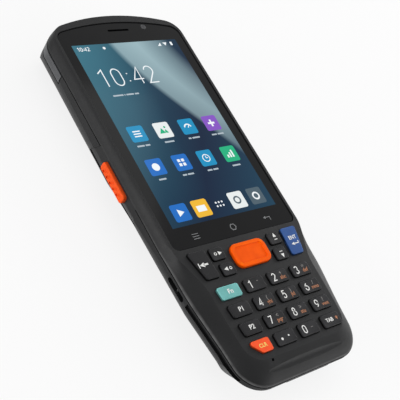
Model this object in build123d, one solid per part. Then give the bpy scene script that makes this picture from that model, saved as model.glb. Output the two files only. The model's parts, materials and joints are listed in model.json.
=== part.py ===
from build123d import *
import os
from math import atan2, degrees, sqrt

os.makedirs("parts", exist_ok=True)

# Handheld barcode data terminal: a slab body with a touch display above a keypad.
# Millimetres. +X is the right side, +Y the head end, +Z up through the display.
# The terminal lies on its back, with the origin under the middle of its box.

# ---- display and cover glass
display_width = 51.84
display_length = 86.4
glass_side_border = 4.4
glass_head_border = 10.7
glass_foot_border = 8.9
glass_arch_radius = 108.0
glass_arch_reach = 26.19
glass_head_corner = 4.5
glass_foot_corner = 2.6
glass_thickness = 1.1
glass_recess = 0.45
glass_gap = 0.12
glass_bevel = 0.2
adhesive_thickness = 0.1
adhesive_inset = 0.3
display_module_border = 2.1
display_module_tail = 4.6
display_module_thickness = 2.3
display_module_gap = 0.2

# ---- body along its length, from head to foot
head_margin = 15.4
keypad_length = 46.7
chin_length = 8.6
body_length = head_margin + display_length + glass_foot_border + keypad_length + chin_length
head_y = body_length / 2
foot_y = -body_length / 2
screen_top_y = head_y - head_margin
screen_foot_y = screen_top_y - display_length
glass_foot_y = screen_foot_y - glass_foot_border
panel_foot_y = glass_foot_y - keypad_length

# ---- body across its width
glass_half = display_width / 2 + glass_side_border
rim_width = 1.2
frame_slope = 2.75
face_half = glass_half + rim_width
body_half = face_half + frame_slope
panel_inset_head = 5.62
panel_inset_mid = 6.22
panel_inset_foot = 7.32
waist_inset = 0.45
grip_inset = 1.35
tail_inset = 3.85
foot_inset = 5.4
waist_half = body_half - waist_inset
grip_half = body_half - grip_inset
tail_half = body_half - tail_inset
foot_half = body_half - foot_inset

# ---- body through its height
parting_z = 14.85
front_height = 4.15
face_z = parting_z + front_height
glass_z = face_z - glass_recess
glass_base_z = glass_z - glass_thickness
ledge_z = glass_base_z - adhesive_thickness

# ---- corners of the plan outline
head_arch_radius = 80.0
head_arch_reach = 23.34
face_arch_radius = 88.0
face_arch_reach = 25.67
face_head_setback = 1.1
head_corner = 12.0
face_head_corner = 8.0
waist_radius = 88.0
grip_radius = 80.0
tail_radius = 30.0
foot_corner = 12.0
face_waist_radius = 14.0
face_wing_radius = 18.0
face_grip_radius = 60.0
face_foot_corner = 7.5
waist_above_glass_foot = 2.7
grip_below_glass = 18.8
tail_above_foot = 17.5
face_waist_below_glass = 1.2
face_wing_below_glass = 15.7
face_grip_below_glass = 34.7
slope_share_across = 0.5
slope_share_along = 0.375
slope_share_up = 0.6

waist_y = glass_foot_y + waist_above_glass_foot
grip_y = glass_foot_y - grip_below_glass
tail_y = foot_y + tail_above_foot

# ---- housings
wall = 2.2
panel_thickness = 1.6
ledge_thickness = 1.05
back_round_head = 11.2
back_round_waist = 20.0
back_round_grip = 17.8
side_straight = 0.8
skin = 0.05
past = 5.0
end_round = 7.0
foot_lean_z = 13.6
foot_lean_run = 9.7
foot_lean_side = 10.8
foot_lean_corner = 11.4
foot_flare_high = 0.149
foot_flare_low = 1.0
parting_groove_height = 0.3
parting_groove_depth = 0.4
seal_inset = 0.95
seal_width = 0.8
seal_height = 0.6
seal_gap = 0.05
fit_gap = 0.25
front_low_room = 1.15
display_room_inset = 0.6
keypad_room_margin = 0.4
earpiece_half = 5.25
earpiece_width = 1.0
earpiece_y = 74.3
mesh_margin = 0.55
mesh_gap = 0.1
mesh_seat = 0.35
front_camera_x = 13.4
front_camera_y = 75.4
front_camera_half = 2.2
front_lens_radius = 1.5

# ---- keys
key_clearance = 0.2
key_lip = 0.45
key_lip_thickness = 0.7
key_lip_gap = 0.1
key_edge_round = 0.42
key_height = 0.9
side_key_height = 1.0
scan_key_height = 1.25
key_travel = 0.35
column_pitch = 11.87
row_pitch = 7.3
first_row_below_glass = 20.0
number_key_width = 9.3
number_key_length = 5.0
function_key_reach = 5.3
function_key_slant = 0.5
scan_key_width = 16.8
scan_key_length = 9.8
scan_key_below_glass = 8.2
scan_key_corner = 3.0
scan_dish_margin = 1.5
scan_dish_depth = 0.4
wing_key_head_below_glass = 2.2
wing_key_length = 11.5
wing_key_inner = 19.3
wing_key_head_width = 7.8
wing_key_slant = 1.0
wing_key_foot_width = 6.0
arrow_key_width = 6.1
arrow_key_length = 4.9
arrow_head_x = 14.4
arrow_foot_x = 13.3
arrow_head_below_glass = 5.1
arrow_foot_below_glass = 11.7
small_key_corner = 0.9

# ---- keypad layers
mat_below_glass = 1.4
mat_thickness = 0.8
mat_travel_gap = 0.15
mat_edge_inset = 0.3
mat_foot_margin = 1.9
mat_rib_x = 22.0
mat_rib_width = 0.9
mat_rib_length = 26.0
mat_rib_margin = 2.0
nub_radius = 0.8
nub_height = 0.3
dome_radius = 2.0
dome_height = 0.4
dome_film = 0.15
film_inset = 0.6
mic_radius = 0.55
mic_x = -15.4
mic_y = -75.2
valley_half = 21.0
valley_radius = 3.2
valley_depth = 0.45
valley_above_foot = 4.5
valley_surface_z = 17.95
valley_tilt = 17.0

# ---- main board and what it carries
board_top_z = 14.4
board_thickness = 1.0
board_inset = 6.77
board_tail_inset = 10.77
board_head_margin = 23.0
board_foot_margin = 10.0
board_neck_below_glass = 15.0
board_tongue_half = 12.0
board_tongue_margin = 3.8
chassis_gap = 0.1
chassis_thickness = 0.55
chassis_inset = 6.27
chassis_foot_y = -27.0
chassis_window_x = 13.0
chassis_window_width = 14.0
chassis_window_length = 16.0
chassis_window_places = [-12.0, 10.0, 32.0, 54.0]
board_hole_x = 25.0
board_hole_margin = 3.0
board_hole_radius = 1.1
can_height = 2.0
can_places = [
    (-13.0, 13.0, 22.0, 26.0),
    (12.0, 20.0, 20.0, 22.0),
    (-12.0, -33.0, 16.0, 12.0),
]

# ---- side triggers and side keys
trigger_length = 17.0
trigger_height = 4.0
trigger_below_screen_top = 59.5
trigger_z = 11.75
trigger_proud = 0.8
trigger_travel = 0.5
trigger_rib_count = 5
trigger_rib_pitch = 2.7
trigger_rib_width = 0.9
trigger_rib_depth = 0.55
trigger_rib_angle = 35.0
button_round = 0.5
button_end_share = 0.32
flange_lip = 0.5
flange_thickness = 1.0
flange_seat = 0.35
flange_room = 0.3
trigger_zone_length = 38.0
trigger_zone_base_z = 6.5
trigger_zone_depth = 0.35
trigger_zone_slant = 5.0
side_key_proud = 0.5
side_key_width = 3.0
power_key_length = 8.5
power_key_below_screen_top = 18.0
volume_key_length = 15.0
volume_key_below_screen_top = 31.6
switch_length = 4.4
switch_depth = 3.0
switch_height = 3.0
switch_gap = 0.15

# ---- head end cap, scan window and scan engine
cap_thickness = 1.3
cap_gap = 0.1
cap_top_gap = 0.5
cap_reveal = 0.5
cap_arm_below_head = 26.4
cap_arm_height = 3.8
cap_head_depth = 6.4
cap_floor_z = 4.9
window_half = 13.0
window_height = 6.6
window_z = 10.0
window_thickness = 1.2
window_setback = 2.6
window_gap = 0.12
window_frame = 1.5
aperture_half = 11.4
aperture_height = 4.8
engine_half = 10.5
engine_length = 14.0
engine_height = 8.6

# ---- back: battery, door, camera, loudspeaker
battery_half = 21.0
battery_length = 62.0
battery_thickness = 6.0
battery_below_head = 39.0
battery_clearance = 0.6
battery_floor_z = 2.1
battery_round = 1.5
bay_wall = 1.2
battery_pin_count = 5
battery_pin_pitch = 2.4
battery_pin_radius = 0.5
battery_pin_z = 5.2
battery_slot_half = 6.0
contact_block_depth = 2.8
door_thickness = 1.4
door_seat_gap = 0.1
door_side_gap = 0.2
door_shoulder_gap = 0.45
door_half = 23.6
door_foot_margin = 2.6
door_head_margin = 2.6
door_tab_half = 18.0
door_tab_length = 2.2
door_corner = 2.5
door_barrel_radius = 0.75
door_pin_radius = 0.4
door_pin_z = 0.85
door_pin_overhang = 2.0
hinge_fit = 0.05
hinge_gap = 0.25
fixed_pin_gap = 0.02
mesh_half = 7.5
mesh_thickness = 0.3
door_notch_half = 5.0
door_notch_length = 2.4
door_notch_depth = 1.1
camera_below_head = 29.0
camera_window_radius = 4.5
camera_window_thickness = 1.0
camera_window_z = 0.15
camera_lens_radius = 2.9
camera_body = 8.4
camera_height = 5.0
flash_offset = 9.0
flash_radius = 1.7
flash_flange = 0.6
speaker_above_foot = 32.0
speaker_half = 8.5
speaker_length = 12.0
speaker_thickness = 3.8
grille_slots = 5
grille_pitch = 2.6
grille_width = 1.1
grille_length = 9.0

# ---- foot: port, flap, contacts, lanyard slots and rails
port_x = 2.0
port_z = 10.1
port_width = 9.4
port_height = 3.6
port_depth = 7.0
port_setback = 6.4
flap_width = 23.0
flap_height = 6.3
flap_below_bend = 1.6
flap_thickness = 1.3
flap_proud = 1.1
flap_swing_room = 1.3
flap_edge_round = 0.45
flap_corner = 1.2
flap_gap = 0.2
flap_plug_half = 4.2
flap_plug_depth = 0.9
flap_plug_low = 0.8
flap_plug_high = 3.0
flap_barrel_radius = 0.7
flap_pin_radius = 0.35
flap_pin_overhang = 1.0
contact_count = 4
contact_pitch = 2.5
contact_above_foot = 17.0
contact_radius = 0.8
contact_length = 2.6
contact_recess = 0.1
carrier_margin = 1.0
carrier_width = 2.8
carrier_thickness = 1.2
slot_length = 10.0
slot_height = 2.6
slot_depth = 4.0
slot_z = 12.6
slot_below_glass = 11.1
lanyard_pin_radius = 0.6
lanyard_pin_depth = 2.0
lanyard_pin_reach = 0.7
lanyard_box_inset = 5.87
lanyard_box_wall = 1.2
lanyard_box_drop = 2.4
rail_height = 2.3
rail_depth = 1.2
rail_z = 13.2
rail_head_below_glass = 18.0
rail_above_foot = 6.4
rail_inset = 8.0

# ---- screws
screw_side_inset = 4.17
screw_head_pair_below_head = 25.0
screw_mid_pair_above_glass_foot = 7.7
screw_foot_inset = 10.6
screw_foot_above_foot = 7.0
screw_radius = 0.9
screw_head_radius = 1.5
screw_head_height = 1.2
screw_head_gap = 0.15
screw_hole_gap = 0.05
screw_seat_z = 10.0
screw_length = 6.0
screw_slot_half = 1.0
screw_slot_width = 0.5
screw_slot_depth = 0.5
boss_radius = 2.5
front_boss_radius = 1.45
boss_joint_z = 12.4
boss_gap = 0.1


def corners(half):
    """Closed corner list from one side's corners (half width, y, radius), head first."""
    left = [(-w, y, r) for w, y, r in half[1:]]
    right = [(w, y, r) for w, y, r in reversed(half[1:])]
    return [half[0]] + left + right


def moved_in(points, inset):
    """The closed corner list moved inwards by inset, with each radius to match."""
    result = []
    for i, (x, y, r) in enumerate(points):
        before = points[i - 1]
        after = points[(i + 1) % len(points)]
        into = Vector(x - before[0], y - before[1]).normalized()
        out = Vector(after[0] - x, after[1] - y).normalized()
        normal_in = Vector(-into.Y, into.X)
        normal_out = Vector(-out.Y, out.X)
        shift = (normal_in + normal_out) * (inset / (1 + normal_in.dot(normal_out)))
        convex = into.X * out.Y - into.Y * out.X > 0
        result.append((x + shift.X, y + shift.Y, r - inset if convex else r + inset))
    return result


def outline(points, z):
    """A face at height z inside the filleted corner list."""
    path = FilletPolyline(*[(x, y, z) for x, y, r in points], radius=[r for x, y, r in points], close=True)
    return Face(path.wire())


def prism(points, z0, z1):
    """The filleted corner list as a solid between two heights."""
    return extrude(outline(points, z0), amount=z1 - z0, dir=(0, 0, 1))


def block(x0, x1, y0, y1, z0, z1):
    """A box between two corners."""
    middle = Pos((x0 + x1) / 2, (y0 + y1) / 2, (z0 + z1) / 2)
    return middle * Box(x1 - x0, y1 - y0, z1 - z0)


def rod_z(x, y, z0, z1, radius):
    """A round rod along Z."""
    return Pos(x, y, (z0 + z1) / 2) * Cylinder(radius, z1 - z0)


def rod_x(x0, x1, y, z, radius):
    """A round rod along X."""
    return Pos((x0 + x1) / 2, y, z) * Rot(0, 90, 0) * Cylinder(radius, x1 - x0)


def save(name, shape):
    """Write one sub-part as parts/NAME.step."""
    export_step(shape, "parts/" + name + ".step")


def arch_fall(radius, reach):
    """Fall per millimetre of the straight sides that run on from an arch of this half width."""
    return reach / sqrt(radius ** 2 - reach ** 2)


def arch_apex(edge_y, radius, fall):
    """Corner height whose fillet of this radius, between sides falling so, touches edge_y."""
    return edge_y + radius * (sqrt(1 + fall ** 2) - 1)


def body_corners():
    """Widest plan outline, at the parting plane."""
    fall = arch_fall(head_arch_radius, head_arch_reach)
    apex = arch_apex(head_y, head_arch_radius, fall)
    return corners([
        (0, apex, head_arch_radius),
        (body_half, apex - fall * body_half, head_corner),
        (waist_half, waist_y, waist_radius),
        (grip_half, grip_y, grip_radius),
        (tail_half, tail_y, tail_radius),
        (foot_half, foot_y, foot_corner),
    ])


def face_corners():
    """Plan outline of the flat top face: the rim round the glass and the keypad panel."""
    fall = arch_fall(face_arch_radius, face_arch_reach)
    apex = arch_apex(head_y - face_head_setback, face_arch_radius, fall)
    return corners([
        (0, apex, face_arch_radius),
        (face_half, apex - fall * face_half, face_head_corner),
        (face_half, glass_foot_y - face_waist_below_glass, face_waist_radius),
        (face_half - panel_inset_head, glass_foot_y - face_wing_below_glass, face_wing_radius),
        (face_half - panel_inset_mid, glass_foot_y - face_grip_below_glass, face_grip_radius),
        (face_half - panel_inset_foot, panel_foot_y, face_foot_corner),
    ])


def blend_corners(low, high, share_x, share_y):
    """Corner list between two lists of equal length, by a share of the way in X and in Y."""
    result = []
    for (x0, y0, r0), (x1, y1, r1) in zip(low, high):
        x = x0 + (x1 - x0) * share_x
        y = y0 + (y1 - y0) * share_y
        result.append((x, y, (r0 + r1) / 2))
    return result


def glass_corners():
    """Plan outline of the cover glass, with an arched head edge."""
    fall = arch_fall(glass_arch_radius, glass_arch_reach)
    apex = arch_apex(screen_top_y + glass_head_border, glass_arch_radius, fall)
    return corners([
        (0, apex, glass_arch_radius),
        (glass_half, apex - fall * glass_half, glass_head_corner),
        (glass_half, glass_foot_y, glass_foot_corner),
    ])


def tunnel_section(station, inset):
    """Cross-section of the body across Y: straight sides, elliptical undersides, flat back."""
    y, half, round_width = station
    start_z = parting_z - side_straight
    flat = half - round_width
    across = round_width - inset
    down = start_z - inset
    edge = flat + across
    right = EllipticalCenterArc((flat, start_z), across, down, 270)
    left = EllipticalCenterArc((-flat, start_z), across, down, 180)
    top_z = parting_z + 1
    outer = Wire([
        Edge.make_line((-flat, inset), (flat, inset)),
        right.edge(),
        Edge.make_line((edge, start_z), (edge, top_z)),
        Edge.make_line((edge, top_z), (-edge, top_z)),
        Edge.make_line((-edge, top_z), (-edge, start_z)),
        left.edge(),
    ])
    return Plane(origin=(0, y, 0), x_dir=(1, 0, 0), z_dir=(0, -1, 0)) * Face(outer)


def foot_outline(half, y, radius, flare, inset, z):
    """A plan with a rounded foot edge, whose sides flare on past the head, moved in by inset."""
    far_y = head_y + past
    far = half + flare * (far_y - y)
    points = [(-far, far_y, past), (-half, y, radius), (half, y, radius), (far, far_y, past)]
    return outline(moved_in(points, inset), z)


def foot_room(inset):
    """The room whose faces lean back under the foot edge and its corners, moved in by inset."""
    shift = inset * sqrt(1 + (foot_lean_run / foot_lean_z) ** 2)
    half = foot_half + skin
    high = foot_outline(half, foot_y - skin, foot_corner, foot_flare_high, shift, foot_lean_z)
    low_half = half - foot_lean_side
    low = foot_outline(low_half, foot_y - skin + foot_lean_run, foot_lean_corner, foot_flare_low, shift, 0)
    return loft([low, high], ruled=True) + extrude(high, amount=past, dir=(0, 0, 1))


def body_block(inset):
    """The rear half of the body below the parting plane, with every outer face moved in."""
    stations = [
        (head_y + 10, body_half + skin, back_round_head),
        (glass_foot_y + 40, body_half + skin, back_round_head),
        (glass_foot_y + 20, body_half + skin, back_round_waist),
        (waist_y, waist_half + skin, back_round_waist),
        (grip_y, grip_half + skin, back_round_grip),
        (tail_y, tail_half + skin, back_round_grip),
        (foot_y - 10, foot_half + skin, back_round_grip),
    ]
    tunnel = loft([tunnel_section(station, inset) for station in stations], ruled=True)
    slab = prism(moved_in(body_corners(), inset), inset, parting_z)
    slab = fillet(slab.faces().sort_by(Axis.Z)[0].outer_wire().edges(), end_round - inset)
    return slab & tunnel & foot_room(inset)


# ---- places worked out from the sizes above
reach_x = body_half + past
reach_z = face_z + past
plan = body_corners()
face_plan = face_corners()
glass_plan = glass_corners()
panel_base_z = face_z - panel_thickness
module_base_z = glass_base_z - display_module_thickness
module_half = display_width / 2 + display_module_border
module_head_y = screen_top_y + display_module_border
module_foot_y = screen_foot_y - display_module_tail
opening_half = module_half + display_module_gap
lip_top_z = panel_base_z - key_lip_gap
lip_base_z = lip_top_z - key_lip_thickness
mat_top_z = lip_base_z - key_travel - mat_travel_gap
mat_base_z = mat_top_z - mat_thickness
mat_head_y = glass_foot_y - mat_below_glass
mat_foot_y = panel_foot_y + mat_foot_margin
board_base_z = board_top_z - board_thickness
board_head_y = head_y - board_head_margin
board_neck_y = glass_foot_y - board_neck_below_glass
board_foot_y = foot_y + board_foot_margin
trigger_y = screen_top_y - trigger_below_screen_top
power_key_y = screen_top_y - power_key_below_screen_top
volume_key_y = screen_top_y - volume_key_below_screen_top
battery_head_y = head_y - battery_below_head
battery_foot_y = battery_head_y - battery_length
battery_top_z = battery_floor_z + battery_thickness
bay_half = battery_half + battery_clearance
bay_head_y = battery_head_y + battery_clearance
bay_foot_y = battery_foot_y - battery_clearance
bay_ceiling_z = battery_top_z + battery_clearance
door_head_y = bay_head_y + door_head_margin
door_shoulder_y = door_head_y - door_tab_length
door_foot_y = bay_foot_y - door_foot_margin
door_axis_y = door_head_y - door_barrel_radius
camera_y = head_y - camera_below_head
camera_base_z = wall + skin
speaker_y = foot_y + speaker_above_foot
window_front_y = head_y - window_setback
window_back_y = window_front_y - window_thickness
cap_head_y = head_y - cap_head_depth
cap_arm_y = head_y - cap_arm_below_head
cap_top_z = parting_z - cap_top_gap
cap_arm_z = cap_top_z - cap_arm_height
screw_side_x = body_half - screw_side_inset
screw_places = [
    (screw_side_x, head_y - screw_head_pair_below_head),
    (screw_side_x, glass_foot_y + screw_mid_pair_above_glass_foot),
    (foot_half - screw_foot_inset, foot_y + screw_foot_above_foot),
]
screw_spots = [(side * x, y) for x, y in screw_places for side in (-1, 1)]
board_half = body_half - board_inset
board_tail_half = body_half - board_tail_inset
foot_lean = degrees(atan2(foot_lean_run, foot_lean_z))
leaning = Pos(0, foot_y, foot_lean_z) * Rot(foot_lean, 0, 0) * Pos(0, -foot_y, -foot_lean_z)
flap_top_z = foot_lean_z - flap_below_bend
flap_base_z = flap_top_z - flap_height
flap_axis_y = foot_y + flap_barrel_radius
flap_axis_z = flap_base_z + flap_barrel_radius
contact_y = foot_y + contact_above_foot
slot_y = glass_foot_y - slot_below_glass
slot_share = (slot_y - waist_y) / (grip_y - waist_y)
slot_face_x = waist_half + slot_share * (grip_half - waist_half)
engine_head_y = window_back_y - window_frame - cap_gap
speaker_base_z = wall + mesh_thickness
pin_end_x = door_tab_half + door_pin_overhang
door_pin_hole = door_pin_radius + fixed_pin_gap
flap_pin_hole = flap_pin_radius + fixed_pin_gap
rail_head_y = glass_foot_y - rail_head_below_glass
rail_top_z = rail_z + rail_height / 2
contact_places = [(i - (contact_count - 1) / 2) * contact_pitch for i in range(contact_count)]


# ---------------------------------------------------------------- keys
def polygon_key(points, radius, height, name):
    """A key as (name, corner list of its cap, height of its top above the panel)."""
    return name, [(x, y, radius) for x, y in points], height


def rectangle(x, y, width, length):
    """Corners of a rectangle, anticlockwise."""
    left, right = x - width / 2, x + width / 2
    foot, head = y - length / 2, y + length / 2
    return [(left, head), (left, foot), (right, foot), (right, head)]


def number_keys():
    """Three columns of four keys under the scan key."""
    names = [
        ["key_1", "key_2", "key_3"],
        ["key_4", "key_5", "key_6"],
        ["key_7", "key_8", "key_9"],
        ["key_point", "key_0", "key_tab"],
    ]
    keys = []
    for row, row_names in enumerate(names):
        y = glass_foot_y - first_row_below_glass - row * row_pitch
        for column, name in enumerate(row_names):
            shape = rectangle((column - 0.5) * column_pitch, y, number_key_width, number_key_length)
            keys.append(polygon_key(shape, small_key_corner, key_height, name))
    return keys


def function_keys():
    """The column at the left, whose outer ends follow the narrowing panel."""
    keys = []
    for row, name in enumerate(["key_function", "key_p1", "key_p2", "key_clear"]):
        y = glass_foot_y - first_row_below_glass - row * row_pitch
        x = -1.5 * column_pitch
        right = x + number_key_width / 2
        outer = x - function_key_reach + row * function_key_slant
        head, foot = y + number_key_length / 2, y - number_key_length / 2
        shape = [(outer, head), (outer + function_key_slant, foot), (right, foot), (right, head)]
        if name == "key_clear":
            cut = number_key_length * 0.7
            shape[1:2] = [(outer + function_key_slant / 2, foot + cut), (outer + cut, foot)]
        keys.append(polygon_key(shape, small_key_corner, key_height, name))
    return keys


def upper_keys():
    """The scan key between four arrow keys and the two slanted wing keys."""
    scan_y = glass_foot_y - scan_key_below_glass
    scan = rectangle(0, scan_y, scan_key_width, scan_key_length)
    keys = [polygon_key(scan, scan_key_corner, scan_key_height, "key_scan")]
    arrows = [
        ("key_right", -arrow_head_x, arrow_head_below_glass),
        ("key_left", -arrow_foot_x, arrow_foot_below_glass),
        ("key_up", arrow_head_x, arrow_head_below_glass),
        ("key_down", arrow_foot_x, arrow_foot_below_glass),
    ]
    for name, x, below in arrows:
        shape = rectangle(x, glass_foot_y - below, arrow_key_width, arrow_key_length)
        keys.append(polygon_key(shape, small_key_corner, key_height, name))
    head = glass_foot_y - wing_key_head_below_glass
    foot = head - wing_key_length
    inner_foot = wing_key_inner - wing_key_slant
    wing = [
        (wing_key_inner, head),
        (inner_foot, foot),
        (inner_foot + wing_key_foot_width, foot),
        (wing_key_inner + wing_key_head_width, head),
    ]
    mirrored = [(-x, y) for x, y in reversed(wing)]
    keys.append(polygon_key(wing, small_key_corner, side_key_height, "key_enter"))
    keys.append(polygon_key(mirrored, small_key_corner, side_key_height, "key_back"))
    return keys


keys = number_keys() + function_keys() + upper_keys()


def key_solid(name, points, height):
    """A key cap with a softened top edge and a lip that holds it under the panel."""
    top = face_z + height
    cap = prism(points, lip_top_z, top)
    cap = fillet(cap.faces().sort_by(Axis.Z)[-1].outer_wire().edges(), key_edge_round)
    if name == "key_scan":
        dish = prism(moved_in(points, scan_dish_margin), top - scan_dish_depth, top + 1)
        cap = cap - dish
        floor = [f for f in cap.faces() if abs(f.center().Z - (top - scan_dish_depth)) < 0.01]
        cap = fillet(floor[0].outer_wire().edges(), scan_dish_depth * 0.9)
    return cap + prism(moved_in(points, -key_lip), lip_base_z, lip_top_z)


def key_centre(points):
    """Middle of a key's box in plan."""
    xs = [p[0] for p in points]
    ys = [p[1] for p in points]
    return (min(xs) + max(xs)) / 2, (min(ys) + max(ys)) / 2


# ---------------------------------------------------------------- side buttons
side_buttons = [
    ("trigger_left", -1, trigger_y, trigger_length, trigger_height, trigger_proud),
    ("trigger_right", 1, trigger_y, trigger_length, trigger_height, trigger_proud),
    ("power_key", 1, power_key_y, power_key_length, side_key_width, side_key_proud),
    ("volume_key", 1, volume_key_y, volume_key_length, side_key_width, side_key_proud),
]
wall_inner_x = body_half - wall
flange_outer_x = wall_inner_x - flange_seat
flange_inner_x = flange_outer_x - flange_thickness


def side_bar(side, x0, x1, y, length, height):
    """A bar across the side wall between two distances from the middle, with rounded ends."""
    bar = Box(x1 - x0, length, height)
    bar = fillet(bar.edges().filter_by(Axis.X), height * button_end_share)
    return Pos(side * (x0 + x1) / 2, y, trigger_z) * bar


def side_button(side, y, length, height, proud):
    """A side button with softened outer edges and a flange behind the wall."""
    body = side_bar(side, flange_inner_x, body_half + proud, y, length, height)
    face = body.faces().sort_by(Axis.X)[-1 if side > 0 else 0]
    body = fillet(face.outer_wire().edges(), button_round)
    lip = 2 * flange_lip
    return body + side_bar(side, flange_inner_x, flange_outer_x, y, length + lip, height + lip)


def trigger(side):
    """A scan trigger, with slanted grip grooves across its outer face."""
    button = side_button(side, trigger_y, trigger_length, trigger_height, trigger_proud)
    grooves = []
    for i in range(trigger_rib_count):
        y = trigger_y + (i - (trigger_rib_count - 1) / 2) * trigger_rib_pitch
        groove = Box(trigger_rib_depth * 2, trigger_rib_width, trigger_height * 0.8)
        place = Pos(side * (body_half + trigger_proud), y, trigger_z)
        grooves.append(place * Rot(trigger_rib_angle, 0, 0) * groove)
    return button - grooves


def side_openings():
    """Holes for the side buttons, with flat rooms for their flanges inside the wall."""
    cuts = []
    for name, side, y, length, height, proud in side_buttons:
        gap = 2 * key_clearance
        cuts.append(side_bar(side, wall_inner_x - 1, body_half + 3, y, length + gap, height + gap))
        across = length / 2 + flange_lip + flange_room
        down = height / 2 + flange_lip + flange_room
        room = block(-1, 1, y - across, y + across, trigger_z - down, parting_z + 1)
        cuts.append(Pos(side * (wall_inner_x - 1), 0, 0) * room)
    return cuts


def trigger_zones():
    """Shallow recesses round both triggers, slanted at their ends."""
    head = trigger_y + trigger_zone_length / 2
    foot = trigger_y - trigger_zone_length / 2
    points = [
        (foot, trigger_zone_base_z),
        (head, trigger_zone_base_z),
        (head - trigger_zone_slant, parting_z + 1),
        (foot + trigger_zone_slant, parting_z + 1),
    ]
    side_face = Plane.YZ * Polygon(*points, align=None)
    bar = extrude(side_face, amount=reach_x, both=True)
    core = wall_inner_x - past
    bar = bar - block(-core, core, foot - past, head + past, 0, reach_z)
    return bar - body_block(trigger_zone_depth)


# ---------------------------------------------------------------- front housing
def rod_y(x, y0, y1, z, radius):
    """A round rod along Y."""
    return Pos(x, (y0 + y1) / 2, z) * Rot(90, 0, 0) * Cylinder(radius, y1 - y0)


def rounded_block(x0, x1, y0, y1, z0, z1, radius):
    """A box whose edges along Z are rounded."""
    shape = block(x0, x1, y0, y1, z0, z1)
    return fillet(shape.edges().filter_by(Axis.Z), radius)


def ring(points, outer_inset, inner_inset, z0, z1):
    """A band that follows the corner list, between two insets."""
    return prism(moved_in(points, outer_inset), z0, z1) - prism(moved_in(points, inner_inset), z0, z1)


def earpiece_slot(margin, z0, z1):
    """The earpiece opening grown by margin, with round ends."""
    half = earpiece_half + margin
    width = earpiece_width / 2 + margin
    y = earpiece_y
    return rounded_block(-half, half, y - width, y + width, z0, z1, width * 0.98)


def front_housing():
    """The bezel and keypad panel in one shell, open towards the parting plane."""
    upper = blend_corners(plan, face_plan, slope_share_across, slope_share_along)
    shape = loft([
        outline(plan, parting_z),
        outline(upper, parting_z + front_height * slope_share_up),
        outline(face_plan, face_z),
    ])
    ledge_base_z = ledge_z - ledge_thickness
    low_room = prism(moved_in(plan, wall), parting_z - 1, parting_z + front_low_room)
    display_room = prism(moved_in(face_plan, display_room_inset), parting_z - 1, ledge_base_z)
    keypad_room = prism(moved_in(face_plan, -keypad_room_margin), parting_z - 1, panel_base_z)
    keypad_room = keypad_room & block(-reach_x, reach_x, foot_y, mat_head_y + fit_gap, 0, reach_z)
    bosses = []
    holes = []
    for x, y in screw_spots:
        bosses.append(rod_z(x, y, boss_joint_z + boss_gap, ledge_base_z, front_boss_radius))
        tip = screw_seat_z + screw_length + screw_hole_gap
        holes.append(rod_z(x, y, boss_joint_z, tip, screw_radius + screw_hole_gap))
    shape = shape - [low_room, display_room, keypad_room] + bosses
    opening = rounded_block(
        -opening_half, opening_half, module_foot_y - display_module_gap,
        module_head_y + display_module_gap, ledge_base_z - 1, face_z, 1.0)
    recess = prism(moved_in(glass_plan, -glass_gap), ledge_z, face_z + 1)
    key_holes = [prism(moved_in(p, -key_clearance), panel_base_z - 1, face_z + 1) for n, p, h in keys]
    cuts = [
        opening,
        recess,
        earpiece_slot(0, ledge_base_z - 1, face_z),
        earpiece_slot(mesh_margin + mesh_gap, ledge_z - mesh_seat, face_z),
        rod_z(front_camera_x, front_camera_y, ledge_base_z - 1, face_z, front_lens_radius + fit_gap),
        rod_z(mic_x, mic_y, parting_z, face_z + 1, mic_radius),
        ring(plan, -1, parting_groove_depth, parting_z, parting_z + parting_groove_height),
        ring(plan, seal_inset, seal_inset + seal_width, parting_z - 1, parting_z + seal_height),
        chin_valley(),
    ]
    return shape - cuts - key_holes - holes


def chin_valley():
    """A soft valley across the chin, deepest in the middle: a turned spindle sunk into the slope."""
    end = (valley_half, 0, valley_radius - valley_depth)
    middle = (0, 0, valley_radius)
    start = (-valley_half, 0, valley_radius - valley_depth)
    rim = Wire([
        ThreePointArc(start, middle, end).edge(),
        Edge.make_line(end, (valley_half, 0, 0)),
        Edge.make_line((valley_half, 0, 0), (-valley_half, 0, 0)),
        Edge.make_line((-valley_half, 0, 0), start),
    ])
    spindle = revolve(Face(rim), axis=Axis.X)
    place = Pos(0, foot_y + valley_above_foot, valley_surface_z) * Rot(valley_tilt, 0, 0)
    return place * Pos(0, 0, valley_radius - valley_depth) * spindle


# ---------------------------------------------------------------- rear housing
def cap_zone(margin):
    """The room of the head end cap: a block over the head and an arm along each side."""
    far_y = head_y + past
    top = cap_top_z + margin
    head = block(-reach_x, reach_x, cap_head_y - margin, far_y, cap_floor_z - margin, top)
    arms = block(-reach_x, reach_x, cap_arm_y - margin, far_y, cap_arm_z - margin, top)
    return head + arms


def window_opening(half, height, y0, y1, radius):
    """A rounded opening along Y at the scan window."""
    low, high = window_z - height / 2, window_z + height / 2
    shape = block(-half, half, y0, y1, low, high)
    return fillet(shape.edges().filter_by(Axis.Y), radius)


def door_zone(gap, shoulder_gap):
    """Plan of the battery door grown by the gaps: a rounded plate and a hinge tab."""
    half = door_half + gap
    top = battery_floor_z + past
    plate = rounded_block(
        -half, half, door_foot_y - gap, door_shoulder_y + shoulder_gap, -past, top, door_corner)
    tab = door_tab_half + gap
    return plate + block(-tab, tab, bay_head_y - past, door_axis_y, -past, top)


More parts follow.
